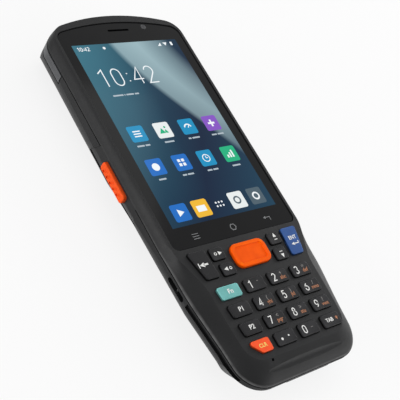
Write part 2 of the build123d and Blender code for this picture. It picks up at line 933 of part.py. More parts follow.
def rear_housing():
    """The back shell with its bay, bosses, window frame and lanyard boxes."""
    outer = body_block(0)
    shell = outer - body_block(wall)
    wide = bay_half + bay_wall
    roof_z = bay_ceiling_z + bay_wall
    bay = block(-wide, wide, bay_foot_y - bay_wall, bay_head_y + bay_wall, 0, roof_z)
    frame_z = window_height / 2 + window_frame
    frame = block(
        -window_half - window_frame, window_half + window_frame,
        window_back_y - window_frame, head_y + past, window_z - frame_z, window_z + frame_z)
    adds = [bay & outer, frame & outer]
    for side in (-1, 1):
        box = block(
            body_half - lanyard_box_inset, body_half, slot_y - slot_length / 2 - lanyard_box_wall,
            slot_y + slot_length / 2 + lanyard_box_wall, slot_z - lanyard_box_drop, parting_z)
        adds.append((box if side > 0 else mirror(box, about=Plane.YZ)) & outer)
    for x, y in screw_spots:
        adds.append(rod_z(x, y, 0, boss_joint_z, boss_radius) & outer)
    return shell + adds - rear_cuts()


def rear_cuts():
    """Everything cut from the rear housing."""
    cuts = [
        rounded_block(-bay_half, bay_half, bay_foot_y, bay_head_y, -1, bay_ceiling_z, 1.0),
        door_zone(door_side_gap, door_shoulder_gap) - body_block(door_thickness + door_seat_gap),
        rod_x(
            -door_tab_half - door_side_gap, door_tab_half + door_side_gap,
            door_axis_y, door_pin_z, door_barrel_radius + hinge_gap),
        block(
            -door_tab_half - door_side_gap, door_tab_half + door_side_gap,
            bay_head_y - past, door_head_y + hinge_gap, -1, door_pin_z),
        rod_x(-pin_end_x - hinge_fit, pin_end_x + hinge_fit, door_axis_y, door_pin_z, door_pin_hole),
        rounded_block(
            -door_notch_half, door_notch_half, door_foot_y - door_notch_length, door_foot_y + 1,
            -1, door_notch_depth, 1.0),
        block(
            -battery_slot_half, battery_slot_half, bay_foot_y - bay_wall - 1, bay_foot_y + 1,
            battery_pin_z - 2 * battery_pin_radius, battery_pin_z + 2 * battery_pin_radius),
        rod_z(0, camera_y, -1, camera_window_z + camera_window_thickness, camera_window_radius + fit_gap / 2),
        rod_z(0, camera_y, 0, wall + 1, camera_lens_radius + fit_gap),
        rod_z(flash_offset, camera_y, -1, wall + 1, flash_radius + fit_gap / 2),
        cap_zone(cap_reveal) - body_block(cap_thickness + cap_gap),
        window_opening(aperture_half, aperture_height, window_back_y - past, head_y + past, 1.0),
        window_opening(
            window_half + window_gap, window_height + 2 * window_gap,
            window_back_y - window_gap, head_y + past, 0.8),
        trigger_zones(),
    ]
    rail_end_y = foot_y + rail_above_foot
    rails = block(-reach_x, reach_x, rail_end_y, rail_head_y, rail_z - rail_height / 2, rail_top_z)
    core = foot_half - rail_inset
    rails = rails - block(-core, core, foot_y, rail_head_y, 0, reach_z)
    cuts.append(rails - body_block(rail_depth))
    for i in range(grille_slots):
        y = speaker_y + (i - (grille_slots - 1) / 2) * grille_pitch
        half, width = grille_length / 2, grille_width / 2
        cuts.append(rounded_block(-half, half, y - width, y + width, -1, wall + 1, width * 0.95))
    for x, y in screw_spots:
        cuts.append(rod_z(x, y, -1, screw_seat_z, screw_head_radius + screw_head_gap))
        cuts.append(rod_z(x, y, 0, boss_joint_z + 1, screw_radius + screw_hole_gap))
    for side in (-1, 1):
        slot = block(
            body_half - slot_depth - 1, body_half + 2, slot_y - slot_length / 2, slot_y + slot_length / 2,
            slot_z - slot_height / 2, slot_z + slot_height / 2)
        slot = fillet(slot.edges().filter_by(Axis.X), slot_height * 0.45)
        cuts.append(slot if side > 0 else mirror(slot, about=Plane.YZ))
        cuts.append(lanyard_pin(side, hinge_fit))
    return cuts + side_openings() + foot_cuts()


def foot_cuts():
    """The flap's recess, its pin hole, the port opening and the contact holes in the back."""
    half = flap_width / 2 + flap_gap
    recess = block(
        port_x - half, port_x + half, foot_y - 1, foot_y + flap_thickness + hinge_gap,
        flap_base_z - flap_gap, flap_top_z + flap_gap)
    across = port_width / 2 + fit_gap
    down = (port_height + fit_gap) / 2
    opening = block(
        port_x - across, port_x + across, foot_y - 1, foot_y + port_setback + port_depth,
        port_z - down, port_z + down)
    reach = flap_width / 2 + flap_pin_overhang + hinge_fit
    pin_hole = rod_x(port_x - reach, port_x + reach, flap_axis_y, flap_axis_z, flap_pin_hole)
    hole = contact_radius + hinge_fit
    holes = [rod_z(x, contact_y, -1, wall + 1, hole) for x in contact_places]
    return [leaning * recess, leaning * pin_hole, fillet(opening.edges().filter_by(Axis.Y), 1.4)] + holes


def lanyard_pin(side, gap):
    """The upright pin across a lanyard slot, grown by gap."""
    x = side * (slot_face_x - lanyard_pin_depth)
    reach = slot_height / 2 + lanyard_pin_reach
    return rod_z(x, slot_y, slot_z - reach, slot_z + reach, lanyard_pin_radius + gap)


def top_cap():
    """The head end cap, a skin over the head with an arm along each side."""
    skin_part = (body_block(0) & cap_zone(0)) - body_block(cap_thickness)
    return skin_part - window_opening(aperture_half, aperture_height, cap_head_y, head_y + past, 1.0)


# ---------------------------------------------------------------- other sub-parts
def touch_glass():
    """The cover glass with its earpiece slot."""
    bevel_z = glass_z - glass_bevel
    plate = prism(glass_plan, glass_base_z, bevel_z)
    bevel = loft([outline(glass_plan, bevel_z), outline(moved_in(glass_plan, glass_bevel), glass_z)])
    return plate + bevel - earpiece_slot(0, glass_base_z - 1, glass_z + 1)


def glass_adhesive():
    """The adhesive frame under the glass."""
    frame = prism(moved_in(glass_plan, adhesive_inset), ledge_z, glass_base_z)
    half = opening_half + skin
    opening = rounded_block(
        -half, half, module_foot_y - 2 * display_module_gap, module_head_y + 2 * display_module_gap,
        0, reach_z, 1.0)
    camera = rod_z(front_camera_x, front_camera_y, 0, reach_z, front_lens_radius + 2 * fit_gap)
    return frame - [opening, earpiece_slot(mesh_margin + 2 * mesh_gap, 0, reach_z), camera]


def chassis():
    """The plate between the display and the main board."""
    z0 = board_top_z + chassis_gap
    half = body_half - chassis_inset
    plate = rounded_block(-half, half, chassis_foot_y, module_head_y, z0, z0 + chassis_thickness, 1.5)
    across = chassis_window_width / 2
    along = chassis_window_length / 2
    holes = []
    for x in (-chassis_window_x, chassis_window_x):
        for y in chassis_window_places:
            holes.append(rounded_block(x - across, x + across, y - along, y + along, 0, reach_z, 2.0))
    return plate - holes


def board_plan(inset, z0, z1):
    """The main board's outline between two heights: wide upper part, tail and foot tongue."""
    wide, tail = board_half - inset, board_tail_half - inset
    shape = block(-wide, wide, board_neck_y + inset, board_head_y - inset, z0, z1)
    shape = shape + block(-tail, tail, board_foot_y + inset, board_neck_y + 2, z0, z1)
    return shape


def main_board():
    """The main board with the tongue that carries the port."""
    tongue = block(
        -board_tongue_half, board_tongue_half, foot_y + board_tongue_margin, board_foot_y + 1,
        board_base_z, board_top_z)
    holes = []
    for x in (-board_hole_x, board_hole_x):
        for y in (board_head_y - board_hole_margin, board_neck_y + board_hole_margin):
            holes.append(rod_z(x, y, 0, reach_z, board_hole_radius))
    return board_plan(0, board_base_z, board_top_z) + tongue - holes


def shield_cans():
    """Shield cans under the main board."""
    cans = []
    for x, y, width, length in can_places:
        can = block(
            x - width / 2, x + width / 2, y - length / 2, y + length / 2,
            board_base_z - can_height, board_base_z)
        cans.append(fillet(can.edges().filter_by(Axis.Z), 0.8))
    return Compound(children=cans)


def dome_sheet():
    """The film of snap domes on the board, one under each key."""
    film_top = board_top_z + dome_film
    keypad = block(-reach_x, reach_x, foot_y, mat_head_y, 0, reach_z)
    film = board_plan(film_inset, board_top_z, film_top) & keypad
    domes = []
    for name, points, height in keys:
        x, y = key_centre(points)
        domes.append(Pos(x, y, board_top_z + (dome_film + dome_height) / 2) * Cone(
            dome_radius, dome_radius * 0.5, dome_film + dome_height))
    return film + domes


def keypad_mat():
    """The rubber mat under the keys, with a nub over each dome and a rib along each side."""
    mat = prism(moved_in(face_plan, mat_edge_inset), mat_base_z, mat_top_z)
    mat = mat & block(-reach_x, reach_x, mat_foot_y, mat_head_y, 0, reach_z)
    adds = []
    for name, points, height in keys:
        x, y = key_centre(points)
        adds.append(rod_z(x, y, mat_base_z - nub_height, mat_base_z, nub_radius))
    for x in (-mat_rib_x, mat_rib_x):
        y = board_foot_y + mat_rib_margin
        half = mat_rib_width / 2
        rib_base = board_top_z + dome_film + skin
        adds.append(block(x - half, x + half, y, y + mat_rib_length, rib_base, mat_base_z))
    return mat + adds


def battery():
    """The battery block with rounded long edges."""
    pack = rounded_block(
        -battery_half, battery_half, battery_foot_y, battery_head_y, battery_floor_z, battery_top_z, 2.0)
    return fillet(pack.faces().sort_by(Axis.Z)[0].outer_wire().edges(), battery_round)


def battery_contacts():
    """The contact block under the board, with pins through the bay wall."""
    half = battery_slot_half + 1
    back_y = bay_foot_y - bay_wall
    low = battery_pin_z - 1.5
    shape = block(-half, half, back_y - contact_block_depth, back_y, low, board_base_z)
    for i in range(battery_pin_count):
        x = (i - (battery_pin_count - 1) / 2) * battery_pin_pitch
        pin = rod_y(x, back_y - 1, battery_foot_y - 0.1, battery_pin_z, battery_pin_radius)
        shape = shape + pin
    return shape


def battery_door():
    """The battery door: a plate that follows the back, with a hinge barrel at its head edge."""
    plate = (body_block(0) & door_zone(0, 0)) - body_block(door_thickness)
    barrel = rod_x(-door_tab_half, door_tab_half, door_axis_y, door_pin_z, door_barrel_radius)
    bore = rod_x(-reach_x, reach_x, door_axis_y, door_pin_z, door_pin_radius + hinge_fit)
    return plate + barrel - bore


def camera_module():
    """The rear camera's body and lens barrel."""
    half = camera_body / 2
    body = block(-half, half, camera_y - half, camera_y + half, camera_base_z, camera_base_z + camera_height)
    low = camera_window_z + camera_window_thickness + skin
    return body + rod_z(0, camera_y, low, camera_base_z + 1, camera_lens_radius)


def flash_lens():
    """The flash lens, a plug with a flange inside the wall."""
    plug = rod_z(flash_offset, camera_y, camera_window_z, camera_base_z + 0.5, flash_radius)
    flange_radius = flash_radius + flash_flange
    return plug + rod_z(flash_offset, camera_y, camera_base_z, camera_base_z + 0.8, flange_radius)


def earpiece():
    """The earpiece receiver under the head ledge."""
    top = ledge_z - ledge_thickness - 0.1
    return rounded_block(-6, 6, earpiece_y - 2, earpiece_y + 2, top - 2.3, top, 0.8)


def front_camera():
    """The front camera's body and lens barrel in the head ledge."""
    x, y, half = front_camera_x, front_camera_y, front_camera_half
    top = ledge_z - ledge_thickness - 0.1
    body = block(x - half, x + half, y - half, y + half, top - 3, top)
    return body + rod_z(x, y, top - 1, ledge_z - 0.1, front_lens_radius)


def usb_connector():
    """The port's metal shell with its tongue, open at the foot."""
    y0 = foot_y + port_setback
    low, high = port_z - port_height / 2, port_z + port_height / 2
    left, right = port_x - port_width / 2, port_x + port_width / 2
    shell = block(left, right, y0, y0 + port_depth, low, high)
    shell = fillet(shell.edges().filter_by(Axis.Y), 1.3)
    cavity = block(left + 0.4, right - 0.4, y0 - 1, y0 + port_depth - 1, low + 0.4, high - 0.4)
    cavity = fillet(cavity.edges().filter_by(Axis.Y), 1.0)
    tongue = block(left + 1.6, right - 1.6, y0 + 0.6, y0 + port_depth - 0.5, port_z - 0.35, port_z + 0.35)
    foot = block(left + 2, right - 2, y0 + 1, y0 + port_depth, high - 0.3, board_base_z)
    return shell - cavity + [tongue, foot]


def port_flap():
    """The hinged cover of the port: a plate with a proud face, a plug behind and a barrel below."""
    half = flap_width / 2
    plate = block(
        port_x - half, port_x + half, foot_y, foot_y + flap_thickness, flap_axis_z, flap_top_z)
    edges = plate.edges().filter_by(Axis.Y).sort_by(Axis.Z)[-2:]
    plate = fillet(edges, flap_corner)
    cover = block(
        port_x - half, port_x + half, foot_y - flap_proud, foot_y,
        flap_axis_z + flap_swing_room, flap_top_z)
    cover = fillet(cover.edges().filter_by(Axis.Y), flap_corner)
    cover = fillet(cover.faces().sort_by(Axis.Y)[0].outer_wire().edges(), flap_edge_round)
    barrel = rod_x(port_x - half, port_x + half, flap_axis_y, flap_axis_z, flap_barrel_radius)
    plug = block(
        port_x - flap_plug_half, port_x + flap_plug_half,
        foot_y + flap_thickness / 2, foot_y + flap_thickness + flap_plug_depth,
        flap_axis_z + flap_plug_low, flap_axis_z + flap_plug_high)
    bore = rod_x(-reach_x, reach_x, flap_axis_y, flap_axis_z, flap_pin_radius + hinge_fit)
    return leaning * (plate + [cover, barrel, plug] - bore)


def flap_pin():
    """The steel pin that the flap turns on."""
    reach = flap_width / 2 + flap_pin_overhang
    return leaning * rod_x(port_x - reach, port_x + reach, flap_axis_y, flap_axis_z, flap_pin_radius)


def charge_contacts():
    """Round charging contacts in one carrier on the inside of the back."""
    reach = (contact_count - 1) / 2 * contact_pitch + carrier_margin
    low, high = contact_y - carrier_width / 2, contact_y + carrier_width / 2
    shape = block(-reach, reach, low, high, wall, wall + carrier_thickness)
    for x in contact_places:
        shape = shape + rod_z(x, contact_y, contact_recess, contact_length, contact_radius)
    return shape


def housing_screws():
    """Six housing screws with slotted heads, as separate solids."""
    screws = []
    for x, y in screw_spots:
        head = rod_z(x, y, screw_seat_z - screw_head_height, screw_seat_z, screw_head_radius)
        shank = rod_z(x, y, screw_seat_z - 0.2, screw_seat_z + screw_length, screw_radius)
        low = screw_seat_z - screw_head_height
        half = screw_slot_width / 2
        slot = block(
            x - screw_slot_half, x + screw_slot_half, y - half, y + half, low - 1, low + screw_slot_depth)
        screws.append(head + shank - slot)
    return Compound(children=screws)


def side_switches():
    """A switch behind each side button, under the edge of the main board."""
    switches = []
    for name, side, y, length, height, proud in side_buttons:
        outer = flange_inner_x - trigger_travel - switch_gap
        switch = block(
            outer - switch_depth, outer, y - switch_length / 2, y + switch_length / 2,
            board_base_z - switch_height, board_base_z)
        switches.append(switch if side > 0 else mirror(switch, about=Plane.YZ))
    return Compound(children=switches)


# ---------------------------------------------------------------- all nodes
save("front_housing", front_housing())
save("rear_housing", rear_housing())
save("top_cap", top_cap())
save("scan_window", window_opening(window_half, window_height, window_back_y, window_front_y, 0.7))
save("scan_engine", block(
    -engine_half, engine_half, engine_head_y - engine_length, engine_head_y,
    board_base_z - engine_height, board_base_z))
save("touch_glass", touch_glass())
save("glass_adhesive", glass_adhesive())
save("display_module", rounded_block(
    -module_half, module_half, module_foot_y, module_head_y, module_base_z, glass_base_z, 1.0))
save("chassis", chassis())
save("main_board", main_board())
save("shield_cans", shield_cans())
save("dome_sheet", dome_sheet())
save("keypad_mat", keypad_mat())
for key_name, key_points, key_top in keys:
    save(key_name, key_solid(key_name, key_points, key_top))
save("trigger_left", trigger(-1))
save("trigger_right", trigger(1))
for button_name, side, y, length, height, proud in side_buttons[2:]:
    save(button_name, side_button(side, y, length, height, proud))
save("side_switches", side_switches())
save("battery", battery())
save("battery_contacts", battery_contacts())
save("battery_door", battery_door())
save("door_pin", rod_x(-pin_end_x, pin_end_x, door_axis_y, door_pin_z, door_pin_radius))
save("camera_window", rod_z(
    0, camera_y, camera_window_z, camera_window_z + camera_window_thickness, camera_window_radius))
save("camera_module", camera_module())
save("flash_lens", flash_lens())
save("loudspeaker", rounded_block(
    -speaker_half, speaker_half, speaker_y - speaker_length / 2, speaker_y + speaker_length / 2,
    speaker_base_z, speaker_base_z + speaker_thickness, 1.5))
save("speaker_mesh", rounded_block(
    -mesh_half, mesh_half, speaker_y - speaker_length / 2, speaker_y + speaker_length / 2,
    wall, speaker_base_z, 1.0))
save("earpiece", earpiece())
save("earpiece_mesh", earpiece_slot(mesh_margin, ledge_z - mesh_seat, ledge_z - skin))
save("front_camera", front_camera())
save("usb_connector", usb_connector())
save("port_flap", port_flap())
save("flap_pin", flap_pin())
save("charge_contacts", charge_contacts())
save("lanyard_pins", Compound(children=[lanyard_pin(-1, 0), lanyard_pin(1, 0)]))
save("housing_screws", housing_screws())
save("seal_gasket", ring(
    plan, seal_inset + seal_gap, seal_inset + seal_width - seal_gap, parting_z,
    parting_z + seal_height - seal_gap))
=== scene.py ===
import json
from math import cos, radians, sin

import bmesh
import bpy
from mathutils import Matrix, Vector


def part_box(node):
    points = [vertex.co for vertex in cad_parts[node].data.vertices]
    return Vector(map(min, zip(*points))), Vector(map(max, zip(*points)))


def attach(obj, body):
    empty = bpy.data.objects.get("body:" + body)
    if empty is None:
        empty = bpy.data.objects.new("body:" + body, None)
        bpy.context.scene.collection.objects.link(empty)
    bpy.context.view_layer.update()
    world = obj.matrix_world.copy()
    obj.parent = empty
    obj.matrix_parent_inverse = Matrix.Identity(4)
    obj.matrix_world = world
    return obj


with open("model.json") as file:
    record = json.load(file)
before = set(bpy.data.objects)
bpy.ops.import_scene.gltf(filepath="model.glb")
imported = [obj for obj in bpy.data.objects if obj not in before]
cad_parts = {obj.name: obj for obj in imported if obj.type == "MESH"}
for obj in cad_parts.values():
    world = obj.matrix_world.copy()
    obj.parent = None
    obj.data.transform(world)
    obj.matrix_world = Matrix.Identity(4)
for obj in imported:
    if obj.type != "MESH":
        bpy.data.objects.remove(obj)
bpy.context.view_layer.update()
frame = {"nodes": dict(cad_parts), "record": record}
nodes = frame["nodes"]
MM = 0.001

# Heights and places on the front, in millimetres of the CAD frame.
GLASS_TOP = 18.55
KEY_TOP = 19.9
WING_TOP = 20.0
SCREEN_LEFT, SCREEN_RIGHT = -25.92, 25.92
SCREEN_FOOT, SCREEN_HEAD = -18.8, 67.6

# Height of each printed layer over the surface that carries it.
WALLPAPER_LIFT = 0.012
GLASS_PRINT_LIFT = 0.014
TILE_LIFT = 0.018
SIGN_LIFT = 0.006
NEEDLE_LIFT = 0.004
CLOCK_LIFT = 0.02
INK_LIFT = 0.012

# ---------------------------------------------------------------- camera
CAMERA_PLACE = (-212.72, -123.1, 244.75)
CAMERA_RIGHT = (0.7586, -0.4679, 0.4534)
CAMERA_UP = (0.1674, 0.8125, 0.5585)
CAMERA_BACK = (-0.6297, -0.3478, 0.6947)
CAMERA_LENS, CAMERA_SENSOR = 78.92, 36
CAMERA_NEAR, CAMERA_FAR = 0.01, 10


def make_camera():
    data = bpy.data.cameras.new("camera")
    data.sensor_width = CAMERA_SENSOR
    data.lens = CAMERA_LENS
    data.clip_start = CAMERA_NEAR
    data.clip_end = CAMERA_FAR
    cam = bpy.data.objects.new("camera", data)
    bpy.context.scene.collection.objects.link(cam)
    axes = Matrix([Vector(CAMERA_RIGHT), Vector(CAMERA_UP), Vector(CAMERA_BACK)])
    turn = axes.transposed().to_4x4()
    cam.matrix_world = Matrix.Translation(Vector(CAMERA_PLACE) * MM) @ turn
    bpy.context.scene.camera = cam


make_camera()

# ---------------------------------------------------------------- materials
BLACK, WHITE = (0.0, 0.0, 0.0), (1.0, 1.0, 1.0)
# Share of a lit colour that its base loses, so that lamps hardly add to it.
LIT_DIMMING = 0.9
PLASTIC_GLOSS = 0.14
GLASS_GLOSS = 0.14


def grey(level):
    return (level, level, level)


def shade(colour, factor):
    return tuple(min(1.0, c * factor) for c in colour)


class Tree:
    """Short calls that add nodes to a material."""

    def __init__(self, name):
        self.mat = bpy.data.materials.new(name)
        self.mat.use_nodes = True
        self.nt = self.mat.node_tree
        self.shader = self.nt.nodes["Principled BSDF"]
        self.place = self.add("ShaderNodeTexCoord").outputs["Object"]

    def add(self, kind, **values):
        node = self.nt.nodes.new(kind)
        for key, value in values.items():
            setattr(node, key, value)
        return node

    def link(self, a, b):
        self.nt.links.new(a, b)

    def feed(self, socket, value):
        """Set a socket to a number or a colour, or link it to another one."""
        if isinstance(value, (int, float)):
            socket.default_value = value
        elif isinstance(value, tuple):
            socket.default_value = (*value, 1)
        else:
            self.link(value, socket)

    def noise(self, scale, detail=4.0, rough=0.55, place=None):
        node = self.add("ShaderNodeTexNoise")
        node.inputs["Scale"].default_value = scale
        node.inputs["Detail"].default_value = detail
        node.inputs["Roughness"].default_value = rough
        self.link(place or self.place, node.inputs["Vector"])
        return node.outputs["Fac"]

    def cells(self, scale):
        node = self.add("ShaderNodeTexVoronoi")
        node.inputs["Scale"].default_value = scale
        self.link(self.place, node.inputs["Vector"])
        return node.outputs["Distance"]

    def split(self, vector):
        """The X, Y and Z of a vector."""
        node = self.add("ShaderNodeSeparateXYZ")
        self.link(vector, node.inputs["Vector"])
        return node.outputs["X"], node.outputs["Y"], node.outputs["Z"]

    def ramp(self, value, stops):
        node = self.add("ShaderNodeValToRGB")
        elements = node.color_ramp.elements
        while len(elements) < len(stops):
            elements.new(0.5)
        for element, (position, colour) in zip(elements, stops):
            element.position = position
            element.color = (*colour, 1)
        self.link(value, node.inputs["Fac"])
        return node.outputs["Color"]

    def tones(self, value, colour, dark, light, start=0.3, end=0.7):
        """The colour from its dark to its light factor as the value grows."""
        return self.ramp(value, [(start, shade(colour, dark)), (end, shade(colour, light))])

    def math(self, kind, a, b=0.0, c=0.0):
        node = self.add("ShaderNodeMath", operation=kind)
        for socket, value in zip(node.inputs, (a, b, c)):
            self.feed(socket, value)
        return node.outputs[0]

    def mix(self, share, a, b, blend="MIX"):
        node = self.add("ShaderNodeMix", data_type="RGBA", blend_type=blend)
        for index, value in ((0, share), (6, a), (7, b)):
            self.feed(node.inputs[index], value)
        return node.outputs[2]

    def colour(self, value):
        self.link(value, self.shader.inputs["Base Color"])

    def rough(self, value, low, high):
        node = self.add("ShaderNodeMapRange")
        node.inputs["To Min"].default_value = low
        node.inputs["To Max"].default_value = high
        self.link(value, node.inputs["Value"])
        self.link(node.outputs["Result"], self.shader.inputs["Roughness"])

    def bump(self, *layers):
        """Layers of (height, strength, depth in metres), the first one undermost."""
        normal = None
        for height, strength, depth in layers:
            node = self.add("ShaderNodeBump")
            node.inputs["Strength"].default_value = strength
            node.inputs["Distance"].default_value = depth
            self.link(height, node.inputs["Height"])
            if normal is not None:
                self.link(normal, node.inputs["Normal"])
            normal = node.outputs["Normal"]
        self.link(normal, self.shader.inputs["Normal"])

    def emit(self, shown, strength):
        """Shine with a colour, over a base that keeps only a tenth of it."""
        self.colour(self.mix(LIT_DIMMING, shown, BLACK))
        self.link(shown, self.shader.inputs["Emission Color"])
        self.set(Emission_Strength=strength)

    def set(self, **values):
        for key, value in values.items():
            self.shader.inputs[key.replace("_", " ")].default_value = value


# The painted highlight on the ridge over the parting line: its foot and height, in metres.
RIDGE_Z, RIDGE_SPAN = 0.0149, 0.0009


def ridge_wear(tree):
    """Share of painted highlight on the ridge over the parting line, strongest towards the foot.
    """
    _, y, z = tree.split(tree.place)
    height = tree.math("MULTIPLY_ADD", z, 1 / RIDGE_SPAN, -RIDGE_Z / RIDGE_SPAN)
    band = tree.ramp(height, [(0.0, BLACK), (0.12, WHITE), (0.45, grey(0.7)), (1.0, BLACK)])
    along = tree.math("MULTIPLY_ADD", y, -12.0, 0.1)
    footward = tree.ramp(along, [(0.2, grey(0.12)), (0.6, WHITE)])
    patchy = tree.ramp(tree.noise(260, 4), [(0.3, grey(0.45)), (0.6, WHITE)])
    return tree.math("MULTIPLY", tree.math("MULTIPLY", band, footward), patchy)


def moulded(name, colour, low, high, grain=0.35, ridge=0.0):
    """Moulded plastic: fine spark texture, slow colour drift, paler sharp edges in patches, and a
    painted highlight on the parting ridge if asked.
    """
    tree = Tree(name)
    drift = tree.tones(tree.noise(38, 3), colour, 0.84, 1.16)
    speck = tree.ramp(tree.noise(2600, 2), [(0.35, grey(0.86)), (0.65, WHITE)])
    speckled = tree.mix(1.0, drift, speck, "MULTIPLY")
    # Paler on sharp edges, in patches.
    pointed = tree.add("ShaderNodeNewGeometry").outputs["Pointiness"]
    edge = tree.ramp(pointed, [(0.52, BLACK), (0.62, WHITE)])
    pale_edge = tree.math("MULTIPLY", edge, tree.noise(160, 4))
    shown = tree.mix(pale_edge, speckled, shade(colour, 1.6))
    # Painted highlight: a pale band on the ridge over the parting line, at the grey level given.
    if ridge:
        shown = tree.mix(ridge_wear(tree), shown, grey(ridge))
    tree.colour(shown)
    tree.rough(tree.noise(420, 4), low, high)
    tree.bump((tree.cells(3400), grain, 0.00003), (tree.noise(5200, 3), grain, 0.00002))
    tree.set(Specular_IOR_Level=PLASTIC_GLOSS)
    return tree.mat


def silicone(name, colour, low, high, gloss=0.13, pale_edge=1.0, flank_shade=1.0):
    """Silicone rubber: satin, with a faint bloom, a painted highlight on its edges, painted shade
    on its flanks and a grain.
    """
    tree = Tree(name)
    bloom = tree.tones(tree.noise(210, 4), colour, 0.9, 1.12, 0.32)
    shape = tree.add("ShaderNodeNewGeometry")
    # Painted highlight: sharp edges paler, by the given factor.
    edge = tree.ramp(shape.outputs["Pointiness"], [(0.51, BLACK), (0.60, WHITE)])
    edge_highlit = tree.mix(edge, bloom, shade(colour, pale_edge))
    # Painted shade: faces that turn sideways are darker than the top, by the given factor.
    _, _, up = tree.split(shape.outputs["True Normal"])
    flank_shade_mask = tree.ramp(up, [(0.25, WHITE), (0.6, BLACK)])
    tree.colour(tree.mix(flank_shade_mask, edge_highlit, shade(colour, flank_shade)))
    tree.rough(tree.noise(900, 3), low, high)
    tree.bump((tree.noise(3600, 4), 0.25, 0.00003), (tree.cells(6500), 0.12, 0.00001))
    tree.set(Specular_IOR_Level=gloss)
    return tree.mat


def metal(name, colour, low, high, stretch=(1, 1, 1)):
    """Metal with fine drawn lines."""
    tree = Tree(name)
    mapping = tree.add("ShaderNodeMapping")
    mapping.inputs["Scale"].default_value = stretch
    tree.link(tree.place, mapping.inputs["Vector"])
    lines = tree.noise(2200, 4, 0.6, mapping.outputs["Vector"])
    tree.colour(tree.tones(lines, colour, 0.85, 1.1))
    tree.rough(lines, low, high)
    tree.bump((lines, 0.2, 0.00002))
    tree.set(Metallic=1.0)
    return tree.mat


def cover_glass():
    """Black-backed cover glass with a faint smear film."""
    tree = Tree("cover_glass")
    deep, bloomed = (0.0022, 0.0023, 0.0027), (0.0036, 0.0037, 0.0043)
    tree.colour(tree.ramp(tree.noise(60, 3), [(0.3, deep), (0.7, bloomed)]))
    tree.rough(tree.noise(130, 5, 0.7), 0.05, 0.13)
    tree.bump((tree.noise(22, 2), 0.02, 0.00005))
    tree.set(Specular_IOR_Level=GLASS_GLOSS)
    return tree.mat


def lit(name, colour):
    """A lit patch of the display seen through its gloss, with a fine pixel grid."""
    tree = Tree(name)
    tree.emit(tree.tones(tree.cells(9000), colour, 0.94, 1.06, 0.0, 0.6), 0.9)
    tree.set(Roughness=0.1, Specular_IOR_Level=0.15)
    return tree.mat


def ink(name, colour):
    """Printed legend ink, slightly uneven."""
    tree = Tree(name)
    tree.colour(tree.tones(tree.noise(1500, 3), colour, 0.88, 1.05))
    tree.rough(tree.noise(2400, 2), 0.4, 0.6)
    tree.bump((tree.noise(4200, 2), 0.1, 0.00001))
    return tree.mat


# The wallpaper's tones from its foot corner to its head corner.
WALLPAPER_TONES = [
    (0.0, (0.007, 0.045, 0.085)), (0.36, (0.003, 0.014, 0.042)),
    (0.62, (0.006, 0.042, 0.078)), (0.95, (0.035, 0.140, 0.190))]
# Its folds: how far each one bends, where it lies, how narrow it is, its colour and strength.
FOLDS = (
    (0.26, 1.05, 0.72, (0.33, 0.47, 0.51), 0.95),
    (-0.42, -0.62, 0.8, (0.05, 0.19, 0.27), 0.25))
FOLD_SECTION = [
    (0.12, BLACK), (0.2, grey(0.75)), (0.5, grey(0.95)), (0.8, grey(0.45)), (0.97, BLACK)]
FOLD_LENGTH = [(0.12, BLACK), (0.5, grey(0.72)), (1.0, WHITE)]
FOLD_WAVE, FOLD_SLANT = 1.9, -0.62


def wallpaper():
    """Navy rising to teal at the head corner, with folds like hanging silk."""
    tree = Tree("wallpaper")
    half_width = SCREEN_RIGHT * MM
    half_length = (SCREEN_HEAD - SCREEN_FOOT) / 2 * MM
    middle = (SCREEN_HEAD + SCREEN_FOOT) / 2 * MM
    x, y, _ = tree.split(tree.place)
    x = tree.math("DIVIDE", x, half_width)
    y = tree.math("DIVIDE", tree.math("SUBTRACT", y, middle), half_length)
    slope = tree.math("ADD", tree.math("MULTIPLY", x, -0.55), tree.math("MULTIPLY", y, 0.45))
    shown = tree.ramp(tree.math("MULTIPLY_ADD", slope, 0.5, 0.5), WALLPAPER_TONES)
    height = tree.math("MULTIPLY_ADD", y, 0.5, 0.5)
    for bend, offset, narrow, pale, strength in FOLDS:
        wave = tree.math("MULTIPLY", tree.math("SINE", tree.math("MULTIPLY", y, FOLD_WAVE)), bend)
        line = tree.math("MULTIPLY_ADD", y, FOLD_SLANT, offset)
        across = tree.math("SUBTRACT", tree.math("ADD", x, wave), line)
        fold = tree.ramp(tree.math("MULTIPLY_ADD", across, narrow, 0.5), FOLD_SECTION)
        fade = tree.ramp(height, FOLD_LENGTH)
        share = tree.math("MULTIPLY", tree.math("MULTIPLY", fold, fade), strength)
        shown = tree.mix(share, shown, pale)
    tree.emit(shown, 1.0)
    tree.set(Roughness=0.1, Specular_IOR_Level=0.12)
    return tree.mat


CHARCOAL = (0.0118, 0.0120, 0.0126)
# Its last two numbers paint a highlight on the key's edges and shade on its flanks.
orange_mat = silicone("orange_rubber", (1.0, 0.100, 0.0), 0.38, 0.5, 0.06, 1.5, 0.7)
glass_mat = cover_glass()
alloy_mat = metal("cast_alloy", (0.5, 0.51, 0.52), 0.4, 0.55)

